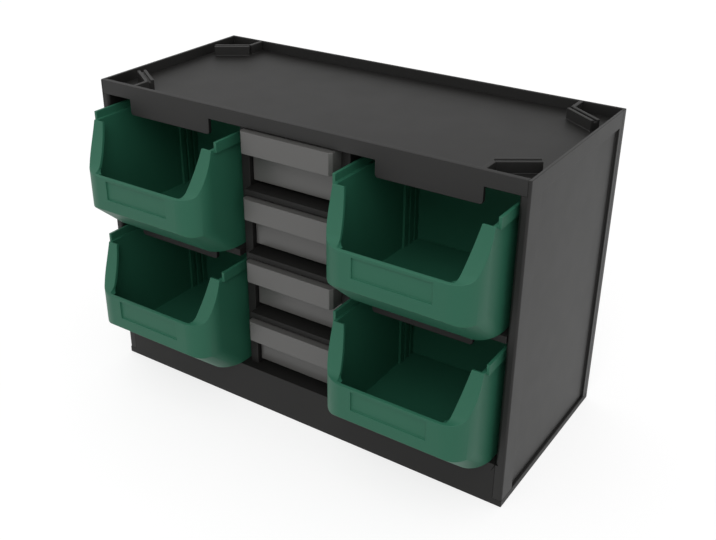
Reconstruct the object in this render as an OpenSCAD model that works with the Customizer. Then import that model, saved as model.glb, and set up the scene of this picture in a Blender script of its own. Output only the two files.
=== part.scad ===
// Parts bin cabinet: a moulded housing with two bays of open-front bins
// and a middle column of four small drawers.
// Millimetres. +Z is up, -Y is the front, +X is the right-hand side seen from the front.
// The frame's origin is on the ground, under the middle of the whole cabinet.

/* [Housing] */
// Width of the housing
body_w = 306; // [290:1:330]
// Depth of the housing, without the bins' fronts
body_d = 136.4; // [130:0.1:160]
// Height of the housing
body_h = 210.7; // [200:0.1:230]
// Height of the base, up to the floor of the lower bays
base_h = 29.6; // [24:0.1:36]
// Width of the drawer column between the partitions
column_w = 68.3; // [60:0.1:76]
// Thickness of a side panel
side_t = 5.95; // [4:0.05:8]
// Thickness of a partition
partition_t = 6.2; // [4:0.1:8]
// Set back of the partitions behind the housing's front
partition_back = 6; // [0:0.5:8]
// Thickness of the back panel
back_t = 4.5; // [3.5:0.1:6]
// Thickness of a bin shelf
bin_shelf_t = 4.7; // [3:0.1:6]
// Thickness of a drawer shelf
drawer_shelf_t = 4; // [3:0.1:5]

/* [Top panel] */
// Full height of the top panel's front edge
top_t = 9.1; // [8:0.1:10]
// Depth of the tray in the top
tray_d = 6.7; // [4:0.1:7]
// Thickness of the raised rim at the sides and back
rim_t = 1.8; // [1.2:0.1:3]
// Thickness of the raised rim along the front
front_rim_t = 3.6; // [2:0.1:5]
// Distance from the side to the near end of a socket wall
socket_near_x = 6; // [4:0.1:10]
// Distance from the front or back to that near end
socket_near_y = 28; // [20:0.1:34]
// Distance from the side to the far end of a socket wall
socket_far_x = 26.8; // [20:0.1:34]
// Distance from the front or back to that far end
socket_far_y = 13.9; // [10:0.1:18]
// Thickness of a socket wall
socket_wall_t = 6.2; // [4:0.1:8]
// Width of the groove along the top of a socket wall
socket_groove_w = 2; // [1:0.1:2.4]
// Depth of that groove
socket_groove_d = 1.5; // [0.5:0.1:3.6]
// Thickness of the short wall that joins a socket wall to the rim
socket_return_t = 2.6; // [1.6:0.1:3.4]

/* [Stop tabs] */
// Distance from a bay's wall to the tab that hangs over its bin
tab_side = 20; // [10:0.1:30]
// Thickness of a tab
tab_t = 2.6; // [2:0.1:4]
// Drop of a tab below the top panel
top_tab_drop = 10.3; // [8:0.1:11]
// Drop of a tab below a bin shelf
shelf_tab_drop = 7.9; // [6:0.1:9]
// Radius of a tab's lower corners
tab_r = 2; // [1:0.1:4]

/* [Edges and sunk fields] */
// Height of the base flange that the panels stand on
flange_h = 4.5; // [3:0.1:6]
// Width of the base flange
flange_w = 9; // [7:0.1:14]
// Depth of the field sunk into the outside of a side panel
side_field_d = 1.7; // [1:0.1:3]
// Width of the border in front of that field
side_field_front = 14.8; // [4:0.1:30]
// Width of the border behind that field
side_field_back = 3.7; // [2:0.1:12]
// Height of the border above that field
side_field_top = 10.5; // [10.1:0.1:20]
// Radius of the side panels' outer front edge
edge_r = 1.4; // [0.5:0.1:3]
// Radius of the side panels' inner front edge, along the bays
inner_edge_r = 2.2; // [0.5:0.1:3]
// Thickness of the base's floor plate and front rail
base_wall_t = 2.8; // [2:0.1:4]
// Thickness of the ribs under the base
rib_t = 2.4; // [1.6:0.1:4]
// Depth of the sunk field on the back panel
back_field_d = 1.2; // [0.5:0.1:2]
// Border round the sunk field
back_border = 12; // [8:0.5:20]

/* [Bins] */
// How far a bin's front stands out of the housing
bin_reach = 35.4; // [28:0.1:38]
// Gap between a bin's rim and the wall of its bay
bin_side_gap = 1.75; // [0.8:0.05:3]
// Gap between a bin's rim and the ceiling of its bay
bin_top_gap = 6.3; // [6:0.1:8]
// How far the rim steps out of the wall below it
rim_step = 1.9; // [1.2:0.1:3]
// Height of the stepped-out rim
rim_h = 4.8; // [3:0.1:6]
// Wall thickness of a bin
bin_wall = 2; // [1.4:0.1:2.4]
// Plan radius of a bin's front corners
bin_front_r = 17.2; // [12:0.1:20]
// Plan radius of a bin's back corners
bin_back_r = 5; // [3:0.1:8]
// Height where the front stops sloping and stands upright
bin_knee_z = 20; // [16:0.1:24]
// How far the bin's foot is set back behind its front
bin_foot_back = 22.5; // [12:0.1:26]
// Radius of the corners of the sloping part
bin_slope_r = 12; // [8:0.1:16]
// Gap between a bin and the back panel
bin_back_gap = 1.3; // [0.8:0.1:4]

/* [Bin front] */
// Set back of the post tops behind the bin's front
post_back = 18; // [17:0.1:20]
// Set back of the rim's front ends behind the bin's front
rim_back = 20.6; // [20.2:0.1:26]
// Radius of the long curve of the scoop
scoop_r = 103; // [95:1:106]
// Radius where the scoop turns into the lip
lip_r = 8; // [6:0.1:9]
// Distance from a bin's side to the foot of the opening
mouth_foot_side = 15.7; // [12:0.1:20]
// Distance from a bin's side to the opening at the post tops
mouth_top_side = 7.6; // [6:0.1:10]
// Radius of the opening's lower corners
mouth_r = 3; // [2:0.1:5]
// How far the cut-out of the flange reaches below the lip
mouth_sink = 0.3; // [0.2:0.1:1]
// Distance from a bin's side to the label recess
label_side = 24.4; // [20:0.1:36]
// Height of the label recess
label_h = 13.3; // [8:0.1:16]
// Distance from the lip down to the label recess
label_drop = 1.5; // [1:0.1:4]
// Depth of the label recess
label_d = 1.1; // [0.5:0.1:1.2]

/* [Bin dividers] */
// Distance from the housing's front to the first divider rib
rib_start = 57.5; // [40:0.5:65]
// Width of a divider rib
slot_rib_w = 4.2; // [2:0.1:5]
// Width of the slot between two ribs
slot_w = 2.3; // [1.9:0.1:3]
// How far a rib stands out of the wall
slot_rib_d = 1.5; // [1:0.1:2]
// Number of ribs on each wall
slot_ribs = 4; // [2:1:5]
// Distance from the rim's step down to the tops of the ribs and the divider
rib_drop = 8.2; // [4:0.1:16]
// Thickness of a divider
divider_t = 1.8; // [1.2:0.1:1.8]
// Clearance at each end of a divider
divider_gap = 0.3; // [0.2:0.1:0.6]

/* [Drawers] */
// Clearance on each side of a drawer
drawer_side_gap = 0.4; // [0.3:0.1:1]
// Gap over a drawer's front
drawer_top_gap = 1; // [0.4:0.1:2]
// Gap between a drawer and the back panel
drawer_back_gap = 4; // [2:0.5:12]
// Wall thickness of a drawer
drawer_wall = 2; // [1.4:0.1:2.6]
// Set back of a drawer's front panel behind the housing's front
drawer_panel_back = 9.1; // [6:0.1:12]
// How far the handle band stands out of the housing's front
band_reach = 4; // [2:0.1:8]
// Height of the handle band
band_h = 14.2; // [10:0.1:18]
// Thickness of the handle band
band_t = 2.2; // [1.6:0.1:3]
// Chamfer at the ends of the handle band
band_chamfer = 2; // [0.5:0.1:2]
// Height of the drawer's floor above its runners
runner_h = 3; // [2:0.1:4]
// Set back of the runners behind the drawer's front panel
runner_back = 5; // [2:0.5:10]
// Distance from the top of a drawer's front down to its side walls
drawer_side_drop = 4; // [3:0.5:16]

/* [Hidden] */
$fn = 96;
housing_grey = [0.30, 0.30, 0.29];
drawer_grey = [0.42, 0.42, 0.41];
bin_green = [0.14, 0.38, 0.30];
eps = 0.01;

bay_w = (body_w - column_w) / 2 - partition_t - side_t;
bay_x = column_w / 2 + partition_t + bay_w / 2;
inner_half_w = body_w / 2 - side_t;
inner_d = body_d - back_t;
top_under_z = body_h - top_t;
tray_z = body_h - tray_d;
front_y = -(body_d - bin_reach) / 2;
tab_w = bay_w - 2 * tab_side;

// Height from one drawer floor to the next; a bin bay is two of these high.
drawer_pitch = (top_under_z + drawer_shelf_t - base_h) / 4;
bin_levels = [base_h, base_h + 2 * drawer_pitch];
drawer_levels = [for (i = [0 : 3]) base_h + i * drawer_pitch];
drawer_front_h = drawer_pitch - drawer_shelf_t - drawer_top_gap;
drawer_side_h = drawer_front_h - drawer_side_drop;
drawer_half_w = column_w / 2 - drawer_side_gap;
drawer_end_y = inner_d - drawer_back_gap;

socket_angle = atan2(socket_near_y - socket_far_y, socket_far_x - socket_near_x);
socket_length = norm([socket_far_x - socket_near_x, socket_near_y - socket_far_y]);

bin_front_y = -bin_reach;
bin_end_y = inner_d - bin_back_gap;
bin_rim_half_w = bay_w / 2 - bin_side_gap;
bin_half_w = bin_rim_half_w - rim_step;
bin_w = 2 * bin_half_w;
bin_h = 2 * drawer_pitch - bin_shelf_t - bin_top_gap;
bin_ledge_z = bin_h - rim_h;
bin_slope_angle = atan2(bin_knee_z, bin_foot_back);
slot_pitch = slot_rib_w + slot_w;
slot_rib_h = bin_ledge_z - rib_drop;
divider_y = rib_start + (slot_ribs - 1) * slot_pitch - slot_w / 2;

// The scoop starts steep at the post tops and turns flat at the lip.
steep_angle = 75;
middle_angle = 60;
lip_angle = 15;
arc_steps = 10;

// ---------- helpers ----------

// Points of an arc, from one angle to another
function arc(centre, radius, from, to) = [
  for (i = [0 : arc_steps])
    let (a = from + (to - from) * i / arc_steps)
    centre + radius * [cos(a), sin(a)]
];

// Puts what is drawn from the housing's front plane into the frame
module from_front() {
  translate([0, front_y, 0]) children();
}

// Draws the children on the right and mirrored on the left
module both_sides() {
  for (side = [0, 1]) mirror([side, 0, 0]) children();
}

// A flat tab with two round lower corners, hanging from z = 0 at x = 0, y = 0
module stop_tab(drop) {
  rotate([90, 0, 0]) translate([0, 0, -tab_t]) linear_extrude(tab_t) union() {
    translate([-tab_w / 2, -drop + tab_r]) square([tab_w, drop - tab_r]);
    translate([-tab_w / 2 + tab_r, -drop]) square([tab_w - 2 * tab_r, drop]);
    for (side = [-1, 1]) translate([side * (tab_w / 2 - tab_r), -drop + tab_r]) circle(tab_r);
  }
}

// ---------- housing ----------

// Plan of what a round edge takes off the front right corner of a block that ends at x = 0, y = 0
module edge_plan(radius) {
  translate([-radius, -eps]) difference() {
    square([radius + eps, radius + eps]);
    translate([0, radius + eps]) circle(radius);
  }
}

// The field sunk into the outside, open downwards onto the base flange
module side_field() {
  length = inner_d - side_field_front - side_field_back;
  translate([body_w / 2 - side_field_d, side_field_front, 0])
    cube([side_field_d + eps, length, body_h - side_field_top]);
}

module side_panel() {
  difference() {
    translate([inner_half_w, 0, flange_h]) cube([side_t, inner_d, body_h - flange_h]);
    translate([body_w / 2, 0, flange_h - eps]) linear_extrude(body_h) edge_plan(edge_r);
    translate([inner_half_w, 0, base_h]) mirror([1, 0, 0])
      linear_extrude(top_under_z - base_h) edge_plan(inner_edge_r);
    translate([inner_half_w - eps, -eps, top_under_z])
      cube([side_t - rim_t + eps, body_d, top_t + eps]);
    side_field();
  }
}

module right_side_panel() {
  color(housing_grey) from_front() side_panel();
}

module left_side_panel() {
  color(housing_grey) from_front() mirror([1, 0, 0]) side_panel();
}

module back_panel() {
  color(housing_grey) from_front() difference() {
    translate([-body_w / 2, inner_d, flange_h]) cube([body_w, back_t, body_h - flange_h]);
    translate([-body_w / 2 + rim_t, inner_d - eps, top_under_z])
      cube([body_w - 2 * rim_t, back_t - rim_t + eps, top_t + eps]);
    translate([-body_w / 2 + back_border, body_d - back_field_d, flange_h + back_border])
      cube([body_w - 2 * back_border, back_field_d + eps, top_under_z - flange_h - 2 * back_border]);
  }
}

module partition() {
  translate([column_w / 2, partition_back, base_h])
    cube([partition_t, inner_d - partition_back, top_under_z - base_h]);
}

module right_partition() {
  color(housing_grey) from_front() partition();
}

module left_partition() {
  color(housing_grey) from_front() mirror([1, 0, 0]) partition();
}

// Draws the children, made for the front left corner, in all four corners
module all_corners() {
  both_sides() {
    translate([-body_w / 2, 0, 0]) children();
    translate([-body_w / 2, body_d, 0]) mirror([0, 1, 0]) children();
  }
}

// The oblique wall of a corner socket, with a groove along its top, and the short wall to the rim
module socket_wall() {
  middle = socket_wall_t / 2;
  difference() {
    translate([socket_near_x, socket_near_y, tray_z - eps]) rotate(-socket_angle)
      cube([socket_length, socket_wall_t, tray_d + eps]);
    translate([socket_near_x, socket_near_y, body_h - socket_groove_d]) rotate(-socket_angle)
      translate([-1, middle - socket_groove_w / 2, 0])
        cube([socket_length + 2, socket_groove_w, socket_groove_d + eps]);
  }
  translate([socket_far_x, rim_t, tray_z - eps])
    cube([socket_return_t, socket_far_y + socket_return_t / 2 - rim_t, tray_d + eps]);
}

module top_panel() {
  color(housing_grey) from_front() union() {
    translate([-body_w / 2 + rim_t, 0, top_under_z])
      cube([body_w - 2 * rim_t, body_d - rim_t, top_t - tray_d]);
    translate([-body_w / 2 + rim_t, 0, top_under_z]) cube([body_w - 2 * rim_t, front_rim_t, top_t]);
    all_corners() socket_wall();
    both_sides() translate([bay_x, 0, top_under_z + eps]) stop_tab(top_tab_drop + eps);
  }
}

module base_flange() {
  difference() {
    translate([-body_w / 2, 0, 0]) cube([body_w, body_d, flange_h]);
    translate([-body_w / 2 + flange_w, flange_w, -eps])
      cube([body_w - 2 * flange_w, body_d - 2 * flange_w, flange_h + 2 * eps]);
  }
}

module base_ribs() {
  rib_x = column_w / 2 + partition_t / 2;
  both_sides() translate([rib_x - rib_t / 2, 0, 0]) cube([rib_t, inner_d, base_h - eps]);
  translate([-inner_half_w, (inner_d - rib_t) / 2, 0])
    cube([2 * inner_half_w, rib_t, base_h - eps]);
}

module base_panel() {
  color(housing_grey) from_front() union() {
    base_flange();
    translate([-inner_half_w, 0, 0]) cube([2 * inner_half_w, base_wall_t, base_h]);
    translate([-inner_half_w, 0, base_h - base_wall_t])
      cube([2 * inner_half_w, inner_d, base_wall_t]);
    base_ribs();
  }
}

module bin_shelf() {
  union() {
    translate([bay_x - bay_w / 2, 0, bin_levels[1] - bin_shelf_t]) cube([bay_w, inner_d, bin_shelf_t]);
    translate([bay_x, 0, bin_levels[1] - bin_shelf_t + eps]) stop_tab(shelf_tab_drop + eps);
  }
}

module right_bin_shelf() {
  color(housing_grey) from_front() bin_shelf();
}

module left_bin_shelf() {
  color(housing_grey) from_front() mirror([1, 0, 0]) bin_shelf();
}

module drawer_shelf(level) {
  color(housing_grey) from_front()
    translate([-column_w / 2, 0, level - drawer_shelf_t]) cube([column_w, inner_d, drawer_shelf_t]);
}

module lower_drawer_shelf() {
  drawer_shelf(drawer_levels[1]);
}

module middle_drawer_shelf() {
  drawer_shelf(drawer_levels[2]);
}

module upper_drawer_shelf() {
  drawer_shelf(drawer_levels[3]);
}

// ---------- bins ----------

// Plan of a bin, drawn from the housing's front plane, made smaller all round by inset
module bin_plan(inset) {
  half_w = bin_half_w - inset;
  front = bin_front_y + inset;
  back = bin_end_y - rim_step - inset;
  front_r = bin_front_r - inset;
  back_r = bin_back_r - inset;
  union() {
    translate([-half_w, front + front_r]) square([2 * half_w, back - back_r - front - front_r]);
    translate([-half_w + front_r, front]) square([2 * (half_w - front_r), front_r + eps]);
    translate([-half_w + back_r, back - back_r - eps]) square([2 * (half_w - back_r), back_r + eps]);
    for (side = [-1, 1]) {
      translate([side * (half_w - front_r), front + front_r]) circle(front_r);
      translate([side * (half_w - back_r), back - back_r]) circle(back_r);
    }
  }
}

// The space above the sloping front, with its long corners rounded, made smaller by inset
module slope_prism(inset) {
  half_w = bin_half_w - inset;
  radius = bin_slope_r - inset;
  reach = 2 * bin_end_y;
  translate([0, bin_front_y + bin_foot_back, 0]) rotate([90 - bin_slope_angle, 0, 0])
    translate([0, inset, -bin_end_y]) linear_extrude(2 * reach) union() {
      translate([-half_w, radius]) square([2 * half_w, reach]);
      translate([-half_w + radius, 0]) square([2 * (half_w - radius), reach]);
      for (side = [-1, 1]) translate([side * (half_w - radius), radius]) circle(radius);
    }
}

// Curve of the scoop in side view (y, z), from the post top down to the lip, offset into the bin
function scoop_curve(offset) =
  let (
    top = [bin_front_y + post_back, bin_ledge_z],
    big = top + scoop_r * [-sin(steep_angle), cos(steep_angle)],
    joint = big + scoop_r * [sin(middle_angle), -cos(middle_angle)],
    small = joint + lip_r * [-sin(middle_angle), cos(middle_angle)]
  )
  concat(
    arc(big, scoop_r + offset, steep_angle - 90, middle_angle - 90),
    arc(small, lip_r + offset, middle_angle - 90, lip_angle - 90)
  );

// Where the straight lip meets the bin's front face
function lip_end(offset) =
  let (curve = scoop_curve(offset), last = curve[len(curve) - 1], run = last[0] - bin_front_y)
  [bin_front_y, last[1] - run * tan(lip_angle)];

// Turns a side view (y, z) outline into a solid across the bin
module across(width) {
  translate([width / 2, 0, 0]) rotate([90, 0, -90]) mirror([1, 0, 0]) linear_extrude(width) children();
}

// Everything of the side view that the bin keeps below the scoop
module below_scoop() {
  across(bin_w + 2) polygon(concat(
    [[bin_end_y, 0], [bin_end_y, bin_ledge_z]],
    scoop_curve(0),
    [lip_end(0), [bin_front_y - 1, lip_end(0)[1]], [bin_front_y - 1, 0]]
  ));
}

// Height of the lip at the bin's front face
function lip_z() = lip_end(0)[1];

// Front view of the opening between the posts
module mouth() {
  foot_z = lip_z() - mouth_sink;
  foot_half_w = bin_half_w - mouth_foot_side;
  top_half_w = bin_half_w - mouth_top_side;
  lean = atan2(top_half_w - foot_half_w - mouth_r, bin_ledge_z - foot_z - mouth_r);
  right_side = concat(
    arc([foot_half_w, foot_z + mouth_r], mouth_r, -90, -lean),
    [[top_half_w + rim_h * tan(lean), bin_h]]
  );
  count = len(right_side);
  left_side = [for (i = [0 : count - 1]) let (p = right_side[count - 1 - i]) [-p[0], p[1]]];
  rotate([90, 0, 0]) linear_extrude(2 * bin_reach, center = true)
    polygon(concat(right_side, left_side));
}

// The turned-in flange that follows the scoop on both sides of the opening
module scoop_flange() {
  outer = scoop_curve(0);
  inner = scoop_curve(bin_wall);
  count = len(inner);
  back = [for (i = [0 : count - 1]) inner[count - 1 - i]];
  difference() {
    intersection() {
      linear_extrude(bin_ledge_z) bin_plan(0);
      across(bin_w) polygon(concat(outer, [lip_end(0), lip_end(bin_wall)], back));
    }
    mouth();
    behind_lip();
  }
}

// What the flange would leave behind the lip, under the opening
module behind_lip() {
  half_w = bin_half_w - mouth_foot_side;
  translate([-half_w, bin_front_y + bin_wall, lip_z() - mouth_sink - 2 * bin_wall])
    cube([2 * half_w, post_back, 2 * bin_wall + eps]);
}

// The rim: open at the front, stepped out all round
module bin_rim() {
  ledge = bin_wall;
  outer_half = bin_rim_half_w;
  rim_y = bin_front_y + rim_back;
  length = bin_end_y - rim_y;
  difference() {
    translate([0, 0, bin_ledge_z - ledge]) linear_extrude(bin_h - bin_ledge_z + ledge)
      rim_plan(outer_half, rim_y, length, bin_back_r + rim_step);
    translate([0, 0, bin_ledge_z]) linear_extrude(bin_h)
      rim_plan(outer_half - bin_wall, rim_y - 1, length + 1 - bin_wall, bin_back_r + rim_step - bin_wall);
    translate([0, 0, bin_ledge_z - ledge - 1]) linear_extrude(bin_h) bin_plan(bin_wall);
  }
}

module rim_plan(half_w, start_y, length, radius) {
  union() {
    translate([-half_w, start_y]) square([2 * half_w, length - radius]);
    translate([-half_w + radius, start_y]) square([2 * (half_w - radius), length]);
    for (side = [-1, 1]) translate([side * (half_w - radius), start_y + length - radius]) circle(radius);
  }
}

module slot_ribs_row() {
  for (i = [0 : slot_ribs - 1])
    translate([bin_half_w - bin_wall - slot_rib_d, rib_start + i * slot_pitch, bin_wall - eps])
      cube([slot_rib_d + eps, slot_rib_w, slot_rib_h + eps]);
}

module label_recess() {
  half_w = bin_half_w - label_side;
  translate([-half_w, bin_front_y - 1, lip_z() - label_drop - label_h])
    cube([2 * half_w, label_d + 1, label_h]);
}

module bin() {
  union() {
    difference() {
      intersection() {
        linear_extrude(bin_ledge_z) bin_plan(0);
        slope_prism(0);
        below_scoop();
      }
      label_recess();
      intersection() {
        translate([0, 0, bin_wall]) linear_extrude(bin_h) bin_plan(bin_wall);
        slope_prism(bin_wall);
      }
    }
    scoop_flange();
    bin_rim();
    both_sides() slot_ribs_row();
  }
}

module divider() {
  half_w = bin_half_w - bin_wall - divider_gap;
  translate([-half_w, divider_y - divider_t / 2, bin_wall]) cube([2 * half_w, divider_t, slot_rib_h]);
}

// Puts a bin, or what goes in it, in its bay: side is -1 left or 1 right, row 0 lower or 1 upper
module in_bay(side, row) {
  from_front() translate([side * bay_x, 0, bin_levels[row]]) children();
}

module upper_left_bin() {
  color(bin_green) in_bay(-1, 1) bin();
}

module upper_right_bin() {
  color(bin_green) in_bay(1, 1) bin();
}

module lower_left_bin() {
  color(bin_green) in_bay(-1, 0) bin();
}

module lower_right_bin() {
  color(bin_green) in_bay(1, 0) bin();
}

module upper_left_divider() {
  color(bin_green) in_bay(-1, 1) divider();
}

module upper_right_divider() {
  color(bin_green) in_bay(1, 1) divider();
}

module lower_left_divider() {
  color(bin_green) in_bay(-1, 0) divider();
}

module lower_right_divider() {
  color(bin_green) in_bay(1, 0) divider();
}

// ---------- drawers ----------

// Plan of the handle's hood: from the front panel to the band, with chamfered front corners
module hood_plan(inset) {
  half_w = drawer_half_w - inset;
  front = -band_reach + inset;
  cut = band_chamfer;
  polygon([
    [-half_w, drawer_panel_back + eps], [-half_w, front + cut], [-half_w + cut, front],
    [half_w - cut, front], [half_w, front + cut], [half_w, drawer_panel_back + eps]
  ]);
}

module drawer_handle() {
  difference() {
    translate([0, 0, drawer_front_h - band_h]) linear_extrude(band_h) hood_plan(0);
    translate([0, 0, drawer_front_h - band_h - 1]) linear_extrude(band_h + 1 - band_t) hood_plan(band_t);
  }
}

module drawer_tray() {
  length = drawer_end_y - drawer_panel_back;
  difference() {
    translate([-drawer_half_w, drawer_panel_back, 0]) cube([2 * drawer_half_w, length, drawer_side_h]);
    translate([-drawer_half_w + drawer_wall, drawer_panel_back + drawer_wall, runner_h + drawer_wall])
      cube([2 * (drawer_half_w - drawer_wall), length - 2 * drawer_wall, drawer_side_h]);
    translate([-drawer_half_w - 1, drawer_panel_back - 1, -1])
      cube([2 * drawer_half_w + 2, runner_back + 1, runner_h + 1]);
    translate([-drawer_half_w + drawer_wall, drawer_panel_back - 1, -1])
      cube([2 * (drawer_half_w - drawer_wall), length + 2, runner_h + 1]);
  }
}

module drawer(level) {
  color(drawer_grey) from_front() translate([0, 0, drawer_levels[level]]) union() {
    drawer_tray();
    drawer_handle();
    translate([-drawer_half_w, drawer_panel_back, runner_h])
      cube([2 * drawer_half_w, drawer_wall, drawer_front_h - runner_h]);
  }
}

module top_drawer() {
  drawer(3);
}

module upper_drawer() {
  drawer(2);
}

module lower_drawer() {
  drawer(1);
}

module bottom_drawer() {
  drawer(0);
}

top_panel();
base_panel();
left_side_panel();
right_side_panel();
back_panel();
left_partition();
right_partition();
left_bin_shelf();
right_bin_shelf();
lower_drawer_shelf();
middle_drawer_shelf();
upper_drawer_shelf();
upper_left_bin();
upper_right_bin();
lower_left_bin();
lower_right_bin();
upper_left_divider();
upper_right_divider();
lower_left_divider();
lower_right_divider();
top_drawer();
upper_drawer();
lower_drawer();
bottom_drawer();
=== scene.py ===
"""Looks of the parts bin cabinet: moulded grey housing, green open-front bins, small grey drawers."""

from math import cos, pi, radians, sin

import bmesh
import bpy
from mathutils import Matrix, Vector


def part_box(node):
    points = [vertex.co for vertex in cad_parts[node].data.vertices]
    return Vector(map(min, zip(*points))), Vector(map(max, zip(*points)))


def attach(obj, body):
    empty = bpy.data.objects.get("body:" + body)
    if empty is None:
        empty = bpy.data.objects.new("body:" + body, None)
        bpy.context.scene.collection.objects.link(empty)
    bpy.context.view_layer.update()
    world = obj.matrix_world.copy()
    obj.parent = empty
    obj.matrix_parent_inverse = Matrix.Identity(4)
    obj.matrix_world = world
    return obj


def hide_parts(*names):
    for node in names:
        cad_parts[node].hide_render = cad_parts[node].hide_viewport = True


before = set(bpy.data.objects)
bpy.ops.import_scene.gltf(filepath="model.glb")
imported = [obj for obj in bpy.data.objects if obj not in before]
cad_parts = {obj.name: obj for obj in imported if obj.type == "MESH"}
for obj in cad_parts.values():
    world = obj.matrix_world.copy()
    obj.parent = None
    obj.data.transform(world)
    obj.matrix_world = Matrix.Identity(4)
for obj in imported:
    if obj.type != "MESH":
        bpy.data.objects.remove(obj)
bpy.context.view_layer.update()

MM = 0.001

# ---------- camera, degrees from the front towards the right and up ----------
CAMERA_AZIMUTH = 34.18
CAMERA_ELEVATION = 27.16
CAMERA_FROM_CORNER = Vector((0.4792, -0.4244, 0.4001))
CAMERA_LENS = 48.99
CAMERA_SHIFT = (0.02363, -0.02204)

# ---------- light ----------
# name, degrees from the front towards the right, degrees up, distance, size, watts
LAMPS = (
    ("key", 24, 44, 1.7, 0.9, 5.8),
)
AMBIENT = 0.76
BACKGROUND = 1.0
FLOOR_COLOUR = (0.34, 0.34, 0.34, 1)
FLOOR_GLOW = 0.74
FLOOR_SIZE = 6
FLOOR_GAP = 0.2 * MM

# ---------- plastics, linear colours ----------
HOUSING_COLOUR = (0.0125, 0.0121, 0.0115)
BIN_COLOUR = (0.0255, 0.1350, 0.0810)
DRAWER_COLOUR = (0.1060, 0.1040, 0.1000)

# ---------- edges ----------
HOUSING_EDGE = 0.35 * MM
BIN_EDGE = 0.3 * MM
DIVIDER_EDGE = 0.3 * MM
DRAWER_EDGE = 0.35 * MM
SHARP = radians(28)
WELD = 0.16 * MM

OUTER = ("top_panel", "back_panel")
SIDES = ("left_side_panel", "right_side_panel")
INNER = (
    "base_panel", "left_partition", "right_partition", "left_bin_shelf", "right_bin_shelf",
    "lower_drawer_shelf", "middle_drawer_shelf", "upper_drawer_shelf",
)
BINS = ("upper_left_bin", "upper_right_bin", "lower_left_bin", "lower_right_bin")
DRAWERS = ("top_drawer", "upper_drawer", "lower_drawer", "bottom_drawer")


# ---------- helpers ----------

def new_object(name, mesh):
    piece = bpy.data.objects.new(name, mesh)
    bpy.context.scene.collection.objects.link(piece)
    return piece


def add_node(tree, kind, **settings):
    made = tree.nodes.new(kind)
    for key, value in settings.items():
        setattr(made, key, value)
    return made


def joined_copy(node):
    """A copy of a CAD node's mesh: tiny edges welded, triangles joined back into whole faces."""
    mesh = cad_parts[node].data.copy()
    mesh.materials.clear()
    soup = bmesh.new()
    soup.from_mesh(mesh)
    bmesh.ops.remove_doubles(soup, verts=soup.verts, dist=WELD)
    bmesh.ops.join_triangles(
        soup, faces=soup.faces, angle_face_threshold=radians(0.5), angle_shape_threshold=pi)
    bmesh.ops.recalc_face_normals(soup, faces=soup.faces)
    for face in soup.faces:
        face.smooth = True
    soup.to_mesh(mesh)
    soup.free()
    return mesh


def round_edges(piece, width, segments=3):
    bevel = piece.modifiers.new("round", "BEVEL")
    bevel.width = width
    bevel.segments = segments
    bevel.limit_method = "ANGLE"
    bevel.angle_limit = SHARP
    bevel.use_clamp_overlap = False
    bevel.loop_slide = False
    normals = piece.modifiers.new("normals", "WEIGHTED_NORMAL")
    normals.mode = "FACE_AREA"
    normals.weight = 100
    normals.keep_sharp = True


def moulding(node, body, material, width):
    """The piece that stands for a CAD node: the same shape with every edge rounded."""
    piece = new_object(node + "_moulding", joined_copy(node))
    piece.data.materials.append(material)
    round_edges(piece, width)
    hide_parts(node)
    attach(piece, body)
    return piece


# ---------- materials ----------

def noise(tree, coordinates, scale, detail):
    made = add_node(tree, "ShaderNodeTexNoise")
    made.inputs["Scale"].default_value = scale
    made.inputs["Detail"].default_value = detail
    tree.links.new(coordinates.outputs["Object"], made.inputs["Vector"])
    return made.outputs["Fac"]


def ranged(tree, source, low, high, to_low, to_high):
    made = add_node(tree, "ShaderNodeMapRange")
    for name, value in (("From Min", low), ("From Max", high), ("To Min", to_low), ("To Max", to_high)):
        made.inputs[name].default_value = value
    tree.links.new(source, made.inputs["Value"])
    return made.outputs["Result"]


def added(tree, first, second):
    made = add_node(tree, "ShaderNodeMath", operation="ADD")
    tree.links.new(first, made.inputs[0])
    tree.links.new(second, made.inputs[1])
    return made.outputs["Value"]


def plastic(name, colour, roughness, specular, grain, grain_depth):
    """Moulded plastic: fine grain, a faint drift of colour and of gloss."""
    material = bpy.data.materials.new(name)
    material.use_nodes = True
    tree = material.node_tree
    shader = tree.nodes["Principled BSDF"]
    shader.inputs["Specular IOR Level"].default_value = specular
    coordinates = add_node(tree, "ShaderNodeTexCoord")

    tone = add_node(tree, "ShaderNodeMix", data_type="RGBA")
    tone.inputs["A"].default_value = [c * 0.96 for c in colour] + [1]
    tone.inputs["B"].default_value = [c * 1.04 for c in colour] + [1]
    tree.links.new(noise(tree, coordinates, 14, 6), tone.inputs["Factor"])
    tree.links.new(tone.outputs["Result"], shader.inputs["Base Color"])

    rubbed = ranged(tree, noise(tree, coordinates, 60, 8), 0.3, 0.7, roughness - 0.012, roughness + 0.012)
    tree.links.new(rubbed, shader.inputs["Roughness"])

    bump = add_node(tree, "ShaderNodeBump")
    bump.inputs["Strength"].default_value = 0.5
    bump.inputs["Distance"].default_value = grain_depth
    tree.links.new(noise(tree, coordinates, grain, 3), bump.inputs["Height"])
    tree.links.new(bump.outputs["Normal"], shader.inputs["Normal"])
    return material


def paint_shade_on_upward_faces(material, top_specular):
    """Painted shade: less sheen on the faces that look up, so that the tops render darker."""
    tree = material.node_tree
    sheen = tree.nodes["Principled BSDF"].inputs["Specular IOR Level"]
    coordinates = add_node(tree, "ShaderNodeTexCoord")
    facing = add_node(tree, "ShaderNodeSeparateXYZ")
    tree.links.new(coordinates.outputs["Normal"], facing.inputs["Vector"])
    # painted shade: the sheen falls towards top_specular as a face turns upwards
    painted_top_shade = ranged(tree, facing.outputs["Z"], 0.6, 0.95, sheen.default_value, top_specular)
    tree.links.new(painted_top_shade, sheen)


# ---------- stage ----------

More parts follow.
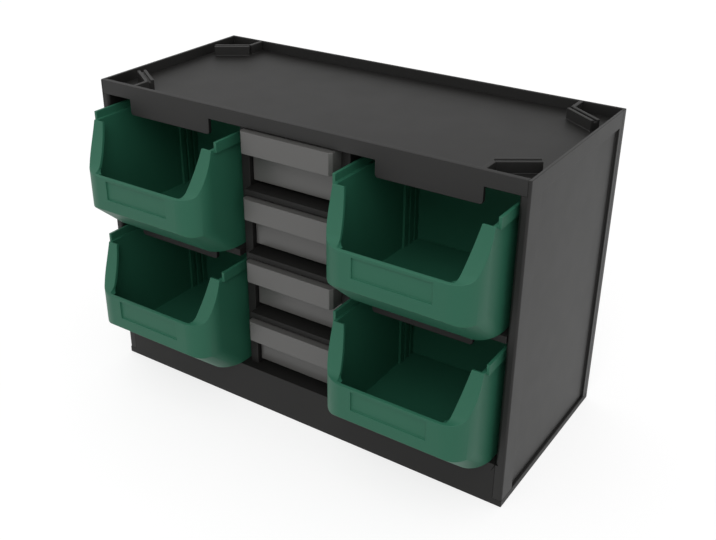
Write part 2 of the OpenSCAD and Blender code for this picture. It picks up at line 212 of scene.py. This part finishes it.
def seen_directly(tree):
    """1 for what the camera, a reflection or a clear piece shows, 0 for what lights a surface."""
    path = add_node(tree, "ShaderNodeLightPath")
    total = added(tree, path.outputs["Is Camera Ray"], path.outputs["Is Glossy Ray"])
    total = added(tree, total, path.outputs["Is Transmission Ray"])
    return ranged(tree, total, 0, 1, 0, 1)


def pale_floor():
    """A plain white floor that keeps the shadow and shows white to the camera."""
    mesh = bpy.data.meshes.new("floor")
    soup = bmesh.new()
    bmesh.ops.create_grid(soup, x_segments=8, y_segments=8, size=FLOOR_SIZE)
    soup.to_mesh(mesh)
    soup.free()
    floor = new_object("floor", mesh)
    floor.location.z = -FLOOR_GAP
    material = bpy.data.materials.new("floor_white")
    material.use_nodes = True
    tree = material.node_tree
    shader = tree.nodes["Principled BSDF"]
    shader.inputs["Base Color"].default_value = FLOOR_COLOUR
    shader.inputs["Roughness"].default_value = 0.9
    shader.inputs["Specular IOR Level"].default_value = 0.1
    shader.inputs["Emission Color"].default_value = (1, 1, 1, 1)
    glow = ranged(tree, seen_directly(tree), 0, 1, 0, FLOOR_GLOW)
    tree.links.new(glow, shader.inputs["Emission Strength"])
    mesh.materials.append(material)


def white_world():
    world = bpy.data.worlds.new("studio")
    bpy.context.scene.world = world
    world.use_nodes = True
    tree = world.node_tree
    tree.nodes.clear()
    output = add_node(tree, "ShaderNodeOutputWorld")
    background = add_node(tree, "ShaderNodeBackground")
    background.inputs["Color"].default_value = (1, 1, 1, 1)
    strength = ranged(tree, seen_directly(tree), 0, 1, AMBIENT, BACKGROUND)
    tree.links.new(strength, background.inputs["Strength"])
    tree.links.new(background.outputs["Background"], output.inputs["Surface"])


def direction(azimuth, elevation):
    """Unit vector away from the cabinet, at degrees from the front towards the right and up."""
    a, e = radians(azimuth), radians(elevation)
    return Vector((sin(a) * cos(e), -cos(a) * cos(e), sin(e)))


def lamps():
    target = Vector((0, 0, 0.1))
    for name, azimuth, elevation, distance, size, watts in LAMPS:
        data = bpy.data.lights.new(name, "AREA")
        data.shape = "DISK"
        data.size = size
        data.energy = watts
        lamp = new_object(name, data)
        away = direction(azimuth, elevation)
        lamp.location = target + away * distance
        lamp.rotation_euler = away.to_track_quat("Z", "Y").to_euler()


def camera():
    data = bpy.data.cameras.new("camera")
    data.lens = CAMERA_LENS
    data.sensor_width = 36
    data.sensor_fit = "HORIZONTAL"
    data.shift_x, data.shift_y = CAMERA_SHIFT
    data.clip_start = 0.01
    eye = new_object("camera", data)
    right = direction(CAMERA_AZIMUTH + 90, 0)
    back = direction(CAMERA_AZIMUTH, CAMERA_ELEVATION)
    up = back.cross(right)
    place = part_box("base_panel")[0] + CAMERA_FROM_CORNER
    eye.matrix_world = Matrix((
        (right.x, up.x, back.x, place.x),
        (right.y, up.y, back.y, place.y),
        (right.z, up.z, back.z, place.z),
        (0, 0, 0, 1)))
    bpy.context.scene.camera = eye


camera()
white_world()
pale_floor()
lamps()

outer_plastic = plastic("outer_plastic", HOUSING_COLOUR, 0.50, 0.38, 2600, 0.05 * MM)
# Painted shade: base, partitions and shelves get a duller, rougher copy of the housing plastic, so they
# render darker, as in the shade under the bins and in the recesses.
shaded_inner_plastic = plastic("shaded_inner_plastic", HOUSING_COLOUR, 0.55, 0.24, 2600, 0.05 * MM)
side_plastic = plastic("side_plastic", HOUSING_COLOUR, 0.48, 0.30, 2600, 0.04 * MM)
bin_plastic = plastic("bin_plastic", BIN_COLOUR, 0.50, 0.30, 1800, 0.03 * MM)
drawer_plastic = plastic("drawer_plastic", DRAWER_COLOUR, 0.32, 0.60, 2200, 0.03 * MM)
# Painted shade: the tops of the outer housing panels and of the drawers get less sheen, so they render
# darker.
paint_shade_on_upward_faces(outer_plastic, 0.17)
paint_shade_on_upward_faces(drawer_plastic, 0.30)

for nodes, material in ((OUTER, outer_plastic), (SIDES, side_plastic), (INNER, shaded_inner_plastic)):
    for node in nodes:
        moulding(node, "housing", material, HOUSING_EDGE)
for node in BINS:
    moulding(node, node, bin_plastic, BIN_EDGE)
    moulding(node.replace("_bin", "_divider"), node, bin_plastic, DIVIDER_EDGE)
for node in DRAWERS:
    moulding(node, node, drawer_plastic, DRAWER_EDGE)

bpy.context.scene.view_settings.view_transform = "Standard"
